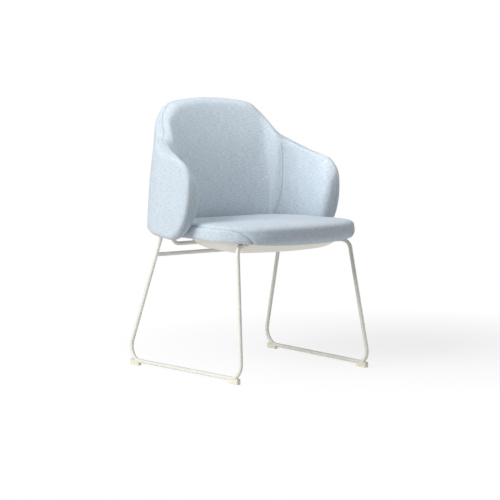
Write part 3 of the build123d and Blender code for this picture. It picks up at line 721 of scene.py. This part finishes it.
# Columns across the unrolled tub, close together beside the two inner seams
top_corner = HALF_WRAP - TOP_NOSE * (1 - np.sqrt(0.5))
low_corner = HALF_WRAP - LOW_NOSE * (1 - np.sqrt(0.5))
back_half = np.linspace(0, INNER_SEAM - CLEAR_OF_SEAM, int(INNER_SEAM / COLUMN))
arm_part = np.linspace(INNER_SEAM + CLEAR_OF_SEAM, top_corner, int((top_corner - INNER_SEAM) / COLUMN))
at_seam = INNER_SEAM + np.concatenate([-BESIDE_SEAM[::-1], [0], BESIDE_SEAM])
half = np.concatenate([back_half, at_seam, arm_part])
columns = np.concatenate([-half[:0:-1], half])
cells = len(columns) - 1
seam_columns = [int(np.argmin(np.abs(columns - side * INNER_SEAM))) for side in (-1, 1)]
lean_share = np.exp(-(((np.abs(columns) - INNER_SEAM) / INNER_SEAM_SPAN) ** 2)) * np.sign(columns)
low_columns = columns * low_corner / top_corner - INNER_SEAM_LEAN * lean_share

# The outline of the unrolled tub, and rings inside it that roll over to the seam along its edge
turns = np.linspace(np.pi / 4, np.pi / 2, FRONT_STEPS)
upper_wrap = HALF_WRAP - TOP_NOSE * (1 - np.sin(turns))
lower_wrap = HALF_WRAP - LOW_NOSE * (1 - np.sin(turns[::-1]))
front_wrap = np.concatenate([upper_wrap, lower_wrap])
front_z = np.concatenate([top_at(upper_wrap), bottom_at(lower_wrap)])
run = np.concatenate([[0], np.cumsum(np.hypot(np.diff(front_wrap), np.diff(front_z)))])
even = np.linspace(0, run[-1], FRONT_CELLS + 1)
front_edge = np.column_stack([np.interp(even, run, front_wrap), np.interp(even, run, front_z)])
outline = np.concatenate(
    [
        np.column_stack([columns, top_at(columns)])[:-1],
        front_edge[:-1],
        np.column_stack([low_columns, bottom_at(low_columns)])[:0:-1],
        (front_edge * (-1, 1))[:0:-1],
    ]
)
around = len(outline)
step = np.roll(outline, -1, axis=0) - np.roll(outline, 1, axis=0)
inward = np.column_stack([step[:, 1], -step[:, 0]]) / np.linalg.norm(step, axis=1)[:, None]
flat_rings = []
for inset in INSETS:
    dip = EDGE_SEAM_SINK * np.exp(-inset / EDGE_SEAM_WIDTH)
    flat_rings.append(outline + inward * (inset + dip))
flat = np.concatenate(flat_rings)
loop = len(flat) - around + np.arange(around)
top_row = loop[: cells + 1]
right_row = loop[cells : cells + FRONT_CELLS + 1]
low_row = loop[cells + FRONT_CELLS : 2 * cells + FRONT_CELLS + 1][::-1]
left_row = np.append(loop[2 * cells + FRONT_CELLS :], loop[0])[::-1]
share = (columns + top_corner) / (2 * top_corner)
grid = coons(flat[top_row], flat[low_row], flat[left_row], flat[right_row], share)
down = np.linspace(0, 1, FRONT_CELLS + 1)[:, None]
grid[..., 0] += INNER_SEAM_LEAN * lean_share[None] * (down - down**INNER_SEAM_BOW)
number = np.zeros((FRONT_CELLS + 1, cells + 1), int)
number[1:-1, 1:-1] = len(flat) + np.arange((FRONT_CELLS - 1) * (cells - 1)).reshape(FRONT_CELLS - 1, -1)
number[0], number[-1], number[:, 0], number[:, -1] = top_row, low_row, left_row, right_row
middle = grid[1:-1, 1:-1].reshape(-1, 2)
inset_of = np.concatenate([np.repeat(INSETS, around), np.full(len(middle), INNER_ROUND)])
flat = np.concatenate([flat, middle])
tub_faces = ring_faces(len(INSETS), around) + grid_faces(number)
ring_columns = np.concatenate(
    [np.arange(cells), np.full(FRONT_CELLS, cells), np.arange(cells)[::-1], np.full(FRONT_CELLS, -1)]
)
face_columns = np.concatenate(
    [np.tile(ring_columns, len(INSETS) - 1), np.tile(np.arange(cells), FRONT_CELLS)]
)
wrap, height = flat[:, 0], flat[:, 1]
outside = outer_at(wrap, height)
wall = wall_at(wrap, height)
seam_depth = seam_at(wrap, height)


def rolled_out(space):
    """Weave map of a panel laid flat, so that the cloth isn't stretched where it rolls over the edge."""
    rings = len(INSETS)
    edge_points = space[: rings * around].reshape(rings, around, 3)
    gaps = np.linalg.norm(np.diff(edge_points, axis=0), axis=2)
    reach = np.concatenate([np.cumsum(gaps[::-1], axis=0)[::-1], np.zeros((1, around))])
    rolled = flat[(rings - 1) * around : rings * around] - inward * reach[..., None]
    return np.concatenate([rolled.reshape(-1, 2), flat[rings * around :]])


def tub_piece(name, face_offset, rear_offset, chosen, sewn):
    """A closed panel of the tub: a face, a hidden rear, and sides where it is cut from its neighbours.

    Its face stays sharp along the points where it is sewn.
    """
    picked = [tub_faces[i] for i in np.flatnonzero(chosen)]
    used = sorted({i for face in picked for i in face})
    front_number = {old: new for new, old in enumerate(used)}
    inner = [i for i in used if i >= around]
    rear_number = {old: len(used) + new for new, old in enumerate(inner)}
    rear_number.update({old: front_number[old] for old in used if old < around})
    faces = [tuple(front_number[i] for i in face) for face in picked]
    faces += [tuple(rear_number[i] for i in face[::-1]) for face in picked]
    shared = {}
    for face in picked:
        for a, b in zip(face, face[1:] + face[:1]):
            shared.setdefault(frozenset((a, b)), []).append((a, b))
    for uses in shared.values():
        a, b = uses[0]
        if len(uses) == 1 and not (a < around and b < around):
            side = [front_number[b], front_number[a], rear_number[a], rear_number[b]]
            faces.append(tuple(dict.fromkeys(side)))
    space = in_space(wrap, height, face_offset)
    rear_points = in_space(wrap[inner], height[inner], rear_offset[inner])
    cloth = rolled_out(space)
    points = np.concatenate([space[used], rear_points])
    piece = new_piece(name, points, faces, np.concatenate([cloth[used], cloth[inner]]))
    ends = np.zeros(2 * len(piece.data.edges), int)
    piece.data.edges.foreach_get("vertices", ends)
    on_seam = np.append(sewn[used], np.zeros(len(inner), bool))[ends.reshape(-1, 2)].all(axis=1)
    crease = piece.data.attributes.new("crease_edge", "FLOAT", "EDGE")
    crease.data.foreach_set("value", on_seam.astype(np.float32))
    return piece, np.array(used)


def subdivide(piece):
    """One level of subdivision, applied."""
    finer = piece.modifiers.new("finer", "SUBSURF")
    finer.levels = 1
    finer.render_levels = 1
    mesh = bpy.data.meshes.new_from_object(piece.evaluated_get(bpy.context.evaluated_depsgraph_get()))
    piece.modifiers.remove(finer)
    piece.data = mesh


face = outside - seam_depth * (1 - rounded(inset_of, OUTER_ROUND))
rear = face - COVER_THICK * np.clip(inset_of / TURNING, 0, 1)
at_edge = inset_of == 0
cover, _ = tub_piece("tub_outer_cover", face, rear, np.ones(len(tub_faces), bool), at_edge)
subdivide(cover)
dress(cover, "outer_cover")

# Inside pads of the tub: a back pad and two arm pads of moulded foam under the same wool.
# They meet at two upright seams that lean in towards the seat, and swell between their seams.
# The foam is fuller at the arms' fronts and at the lower back.
INNER_SEAM_SINK = 2.2
INNER_SEAM_WIDTH = 1.2
SEAM_RIDGE = 1.3
SEAM_RIDGE_OFF = 3.0
SEAM_RIDGE_WIDTH = 1.6
FRONT_SWELL = 22.0
FRONT_SWELL_REACH = 120.0
FRONT_SWELL_FULL = 25.0
FRONT_SWELL_TOP = 617.0
FRONT_SQUARE = 0.5
TOP_FALL = 1.2
TOP_FALL_Z = (555.0, 615.0)
TOP_FALL_WRAP = (430.0, 480.0)
LUMBAR_SWELL = 13.0
LUMBAR_WIDE = 250.0
LUMBAR_LOW = 0.45
SEAM_ALLOWANCE = 4.0
PAD_PRESSURE = 3.0
PAD_SWELL = 1.2
SWELL_FRAMES = 20
CLOTH_QUALITY = 4
WOOL_STRETCH = 30
WOOL_SHEAR = 12
WOOL_BEND = 2


def inflate(piece, held, pressure, cap_mm):
    """Swells a sewn cover by cloth simulation. It is held at these points, and none moves past the cap."""
    before = read_points(piece.data, "co") / MM
    pins = piece.vertex_groups.new(name="held")
    pins.add([int(i) for i in np.flatnonzero(held)], 1.0, "REPLACE")
    cloth = piece.modifiers.new("cover", "CLOTH")
    cloth.settings.vertex_group_mass = "held"
    cloth.settings.use_pressure = True
    cloth.settings.uniform_pressure_force = pressure
    cloth.settings.effector_weights.gravity = 0
    cloth.settings.quality = CLOTH_QUALITY
    cloth.settings.tension_stiffness = WOOL_STRETCH
    cloth.settings.compression_stiffness = WOOL_STRETCH
    cloth.settings.shear_stiffness = WOOL_SHEAR
    cloth.settings.bending_stiffness = WOOL_BEND
    cloth.point_cache.frame_end = SWELL_FRAMES
    for step in range(1, SWELL_FRAMES + 1):
        bpy.context.scene.frame_set(step)
    swollen = piece.evaluated_get(bpy.context.evaluated_depsgraph_get()).to_mesh()
    moved = read_points(swollen, "co") / MM - before
    piece.modifiers.remove(cloth)
    piece.vertex_groups.remove(pins)
    bpy.context.scene.frame_set(1)
    far = np.linalg.norm(moved, axis=1)
    moved *= np.minimum(1, cap_mm / np.maximum(far, cap_mm))[:, None]
    move_points(piece, before + moved)


column_of = np.full(len(flat), np.inf)
for ring in range(len(INSETS)):
    low = ring * around
    column_of[low : low + cells + 1] = columns
    column_of[low + cells + FRONT_CELLS : low + 2 * cells + FRONT_CELLS + 1] = columns[::-1]
column_of[number[1:-1, 1:-1].ravel()] = np.tile(columns[1:-1], FRONT_CELLS - 1)
off_seam = np.abs(np.abs(column_of) - INNER_SEAM)
sink = INNER_SEAM_SINK * np.exp(-((off_seam / INNER_SEAM_WIDTH) ** 2))
sink -= SEAM_RIDGE * np.exp(-(((off_seam - SEAM_RIDGE_OFF) / SEAM_RIDGE_WIDTH) ** 2))
near_front = ease(np.abs(wrap), HALF_WRAP - FRONT_SWELL_REACH, HALF_WRAP - FRONT_SWELL_FULL)
rise = np.clip((height - TUB_ARM_Z) / (FRONT_SWELL_TOP - TUB_ARM_Z), 0, 1)
padded = wall + FRONT_SWELL * near_front * np.sin(np.pi * rise)
rise = np.clip((height - TUB_REAR_Z) / (BACK_TOP_Z - TUB_REAR_Z), 0, 1)
padded += LUMBAR_SWELL * np.exp(-((wrap / LUMBAR_WIDE) ** 2)) * np.sin(np.pi * rise**LUMBAR_LOW)
falling = ease(height, *TOP_FALL_Z) * ease(np.abs(wrap), *TOP_FALL_WRAP)
power = 1 - FRONT_SQUARE * near_front * (1 - falling) + TOP_FALL * falling
roll = rounded(inset_of, INNER_ROUND) ** power
face = outside - padded + (padded - seam_depth) * (1 - roll) + sink
rear = outside - np.where(inset_of < OUTER_ROUND, seam_depth, np.maximum(seam_depth, PAD_DEPTH))
right_seam, left_seam = seam_columns
spans = {
    "back_pad": (face_columns >= right_seam) & (face_columns < left_seam),
    "right_arm_pad": face_columns < right_seam,
    "left_arm_pad": face_columns >= left_seam,
}
pads = {}
for node, chosen in spans.items():
    pad, used = tub_piece(node + "_cover", face, rear, chosen, at_edge | (off_seam == 0))
    held = np.ones(len(pad.data.vertices), bool)
    held[: len(used)] = (inset_of[used] < INNER_ROUND) | (off_seam[used] < SEAM_ALLOWANCE)
    inflate(pad, held, PAD_PRESSURE, PAD_SWELL)
    subdivide(pad)
    dress(pad, node)
    pads[node] = pad

# Top-stitching: a row along the tub's edge seam on the cover, and one on each side of both inner seams.
# Corespun polyester thread, sewn through the wool, the foam's face and the seam's turning.
# Each stitch dips into the cloth at both ends. The thread is drawn twice as thick as it is, to show.
STITCH_LONG = 6.2
STITCH_PITCH = 7.6
THREAD_THICK = 1.7
THREAD_SIDES = 6
EDGE_STITCH_INSET = 5.0
INNER_STITCH_OFF = 2.6
INNER_ROW_START = 4
ALONG_STITCH = np.array([0.0, 0.2, 0.5, 0.8, 1.0])
STITCH_SWELL = np.array([0.3, 0.9, 1.0, 0.9, 0.3]) * THREAD_THICK / 2
STITCH_LIFT = np.array([-0.7, 0.2, 0.5, 0.2, -0.7]) * THREAD_THICK / 2


def unit(vectors):
    """The vectors' directions."""
    return vectors / np.linalg.norm(vectors, axis=-1)[..., None]


def stitch_row(piece, route):
    """Points of a row of stitches that lies on the piece along a route in millimetres."""
    skin = BVHTree.FromObject(piece, bpy.context.evaluated_depsgraph_get())
    laid = [skin.find_nearest(Vector(spot * MM)) for spot in route]
    spots = np.array([hit[0] for hit in laid]) / MM
    normals = np.array([hit[1] for hit in laid])
    run = np.append(0, np.cumsum(np.linalg.norm(np.diff(spots, axis=0), axis=1)))
    at = np.arange(0, run[-1] - STITCH_LONG, STITCH_PITCH)[:, None] + STITCH_LONG * ALONG_STITCH
    centre = np.stack([np.interp(at, run, spots[:, i]) for i in range(3)], -1)
    up = unit(np.stack([np.interp(at, run, normals[:, i]) for i in range(3)], -1))
    ahead = unit(centre[:, -1:] - centre[:, :1])
    side = unit(np.cross(up, ahead))
    centre = centre + up * STITCH_LIFT[:, None]
    turn = np.linspace(0, 2 * np.pi, THREAD_SIDES, endpoint=False)[:, None]
    round_it = side[:, :, None] * np.cos(turn) + up[:, :, None] * np.sin(turn)
    return (centre[:, :, None] + round_it * STITCH_SWELL[:, None, None]).reshape(-1, 3)


def sew(name, rows):
    """One piece made of rows of stitches."""
    points = np.concatenate(rows)
    rings = len(ALONG_STITCH)
    one = ring_faces(rings, THREAD_SIDES)
    one.append(tuple(range(THREAD_SIDES))[::-1])
    one.append(tuple(range((rings - 1) * THREAD_SIDES, rings * THREAD_SIDES)))
    starts = range(0, len(points), rings * THREAD_SIDES)
    faces = [tuple(start + i for i in face) for start in starts for face in one]
    ring = np.tile(np.repeat(ALONG_STITCH * STITCH_LONG, THREAD_SIDES), len(starts))
    ply = np.tile(np.linspace(0, np.pi * THREAD_THICK, THREAD_SIDES), rings * len(starts))
    piece = new_piece(name, points, faces, np.column_stack([ring, ply]))
    piece.data.materials.append(polyester)
    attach(piece, "root")


# Corespun polyester: a pale twisted thread, a little glossier than the wool around it
TWIST_MM = 1.2
polyester, tree, surface = new_finish(
    "polyester_thread", {"Roughness": 0.6, "IOR": 1.55, "Sheen Weight": 0.2}
)
weave = add_node(tree, "ShaderNodeUVMap", {"uv_map": "weave"})
twist = add_node(
    tree,
    "ShaderNodeTexWave",
    {"Scale": per_metre(TWIST_MM) / 2, "bands_direction": "DIAGONAL"},
    {"Vector": weave.outputs["UV"]},
)
tone = add_node(
    tree,
    "ShaderNodeMix",
    {"data_type": "RGBA", TONE_A: linear("#D3DCE3"), TONE_B: linear("#EEF2F5")},
    {0: twist.outputs["Fac"]},
)
tree.links.new(tone.outputs[TONE_OUT], surface.inputs["Base Color"])

sewn_edge = np.concatenate([np.arange(2 * cells + FRONT_CELLS, around), np.arange(cells + FRONT_CELLS + 1)])
edge_wrap, edge_z = (outline[sewn_edge] + inward[sewn_edge] * EDGE_STITCH_INSET).T
rolled = seam_at(edge_wrap, edge_z) * (1 - rounded(EDGE_STITCH_INSET, OUTER_ROUND))
edge_route = in_space(edge_wrap, edge_z, outer_at(edge_wrap, edge_z) - rolled)
sew("edge_stitching", [stitch_row(cover, edge_route)])
inner_rows = []
for column, sides in zip(seam_columns, (("right_arm_pad", "back_pad"), ("back_pad", "left_arm_pad"))):
    over_edge = np.arange(INNER_ROW_START, len(INSETS)) * around + column
    line = np.concatenate([over_edge, number[1:-1, column]])
    for node, shift in zip(sides, (-INNER_STITCH_OFF, INNER_STITCH_OFF)):
        route = in_space(wrap[line] + shift, height[line], face[line])
        inner_rows.append(stitch_row(pads[node], route))
sew("inner_seam_stitching", inner_rows)

# Floor and light: a pale sweep, a large soft lamp on the chair's right, one above and a low fill in front.
# The floor is white to the lens and keeps only the chair's soft shadow, which fades out around its place.
# To all other rays it is plain white paper, which lights the chair from below.
FLOOR_SIZE = 30
GLOW_SHARE = 0.79
SHADOW_PLACE = (0.62, 0.05, 0.0)
FADE_START = 0.2
FADE_END = 0.95
SOFT_LEVEL = 0.06
bpy.ops.mesh.primitive_plane_add(size=FLOOR_SIZE)
floor = bpy.context.object
floor.name = "studio_floor"
floor_finish, tree, surface = new_finish("white_sweep", {"Base Color": linear("#F4F4F4"), "Roughness": 0.9})
path = add_node(tree, "ShaderNodeLightPath", {})
seen = add_node(
    tree,
    "ShaderNodeMath",
    {"operation": "MAXIMUM"},
    {0: path.outputs["Is Camera Ray"], 1: path.outputs["Is Glossy Ray"]},
)
place = add_node(tree, "ShaderNodeTexCoord", {})
far = add_node(
    tree, "ShaderNodeVectorMath", {"operation": "DISTANCE", 1: SHADOW_PLACE}, {0: place.outputs["Object"]}
)
fade = add_node(
    tree,
    "ShaderNodeMapRange",
    {"From Min": FADE_START, "From Max": FADE_END, "To Min": GLOW_SHARE, "To Max": 1.0},
    {"Value": far.outputs["Value"]},
)
glow_share = add_node(
    tree,
    "ShaderNodeMath",
    {"operation": "MULTIPLY"},
    {0: seen.outputs["Value"], 1: fade.outputs["Result"]},
)
glow = add_node(tree, "ShaderNodeEmission", {"Color": (1, 1, 1, 1), "Strength": 1.0})
both = add_node(
    tree,
    "ShaderNodeMixShader",
    {},
    {0: glow_share.outputs["Value"], 1: surface.outputs["BSDF"], 2: glow.outputs["Emission"]},
)
tree.links.new(both.outputs["Shader"], tree.nodes["Material Output"].inputs["Surface"])
floor.data.materials.append(floor_finish)

world = bpy.data.worlds.new("studio")
bpy.context.scene.world = world
world.use_nodes = True
tree = world.node_tree
path = add_node(tree, "ShaderNodeLightPath", {})
soft = tree.nodes["Background"]
soft.inputs["Color"].default_value = (1, 1, 1, 1)
soft.inputs["Strength"].default_value = SOFT_LEVEL
white = add_node(tree, "ShaderNodeBackground", {"Color": (1, 1, 1, 1), "Strength": 1.0})
seen = add_node(
    tree,
    "ShaderNodeMath",
    {"operation": "MAXIMUM"},
    {0: path.outputs["Is Camera Ray"], 1: path.outputs["Is Transmission Ray"]},
)
both = add_node(
    tree,
    "ShaderNodeMixShader",
    {},
    {0: seen.outputs["Value"], 1: soft.outputs["Background"], 2: white.outputs["Background"]},
)
tree.links.new(both.outputs["Shader"], tree.nodes["World Output"].inputs["Surface"])

# Each lamp: its place and size in metres, and its power in watts
lamps = {
    "key_lamp": ((-3.9, 0.1, 2.7), 2.8, 222),
    "overhead_lamp": ((0.0, -0.2, 1.25), 0.6, 4.2),
    "low_fill_lamp": ((1.9, -1.5, 0.15), 1.0, 18),
}
LIT_POINT = Vector((0, 0, 0.45))
for name, (place, size, power) in lamps.items():
    lamp = bpy.data.objects.new(name, bpy.data.lights.new(name, "AREA"))
    lamp.data.size = size
    lamp.data.energy = power
    lamp.location = place
    lamp.rotation_euler = (LIT_POINT - lamp.location).to_track_quat("-Z", "Y").to_euler()
    bpy.context.scene.collection.objects.link(lamp)

# Camera: a long lens level with the top of the back, looking at the chair's right front.
# Its place and its shift come from the frame's outline in the picture.
CAMERA_TURN = np.radians(-38.399)
CAMERA_TILT = np.radians(4.855)
CAMERA_AWAY = 5.2
SENSOR_MM = 36
LENS_MM = 123.18
SHIFT_X = -0.00635
SHIFT_Y = -0.0294
AIM = Vector((0, 0, 0.4))
level = np.cos(CAMERA_TILT)
away = Vector((np.sin(CAMERA_TURN) * level, -np.cos(CAMERA_TURN) * level, np.sin(CAMERA_TILT)))
camera = bpy.data.objects.new("camera", bpy.data.cameras.new("camera"))
camera.data.sensor_width = SENSOR_MM
camera.data.lens = LENS_MM
camera.data.shift_x = SHIFT_X
camera.data.shift_y = SHIFT_Y
camera.location = AIM + away * CAMERA_AWAY
camera.rotation_euler = (-away).to_track_quat("-Z", "Y").to_euler()
bpy.context.scene.collection.objects.link(camera)
bpy.context.scene.camera = camera
bpy.context.scene.view_settings.view_transform = "Standard"
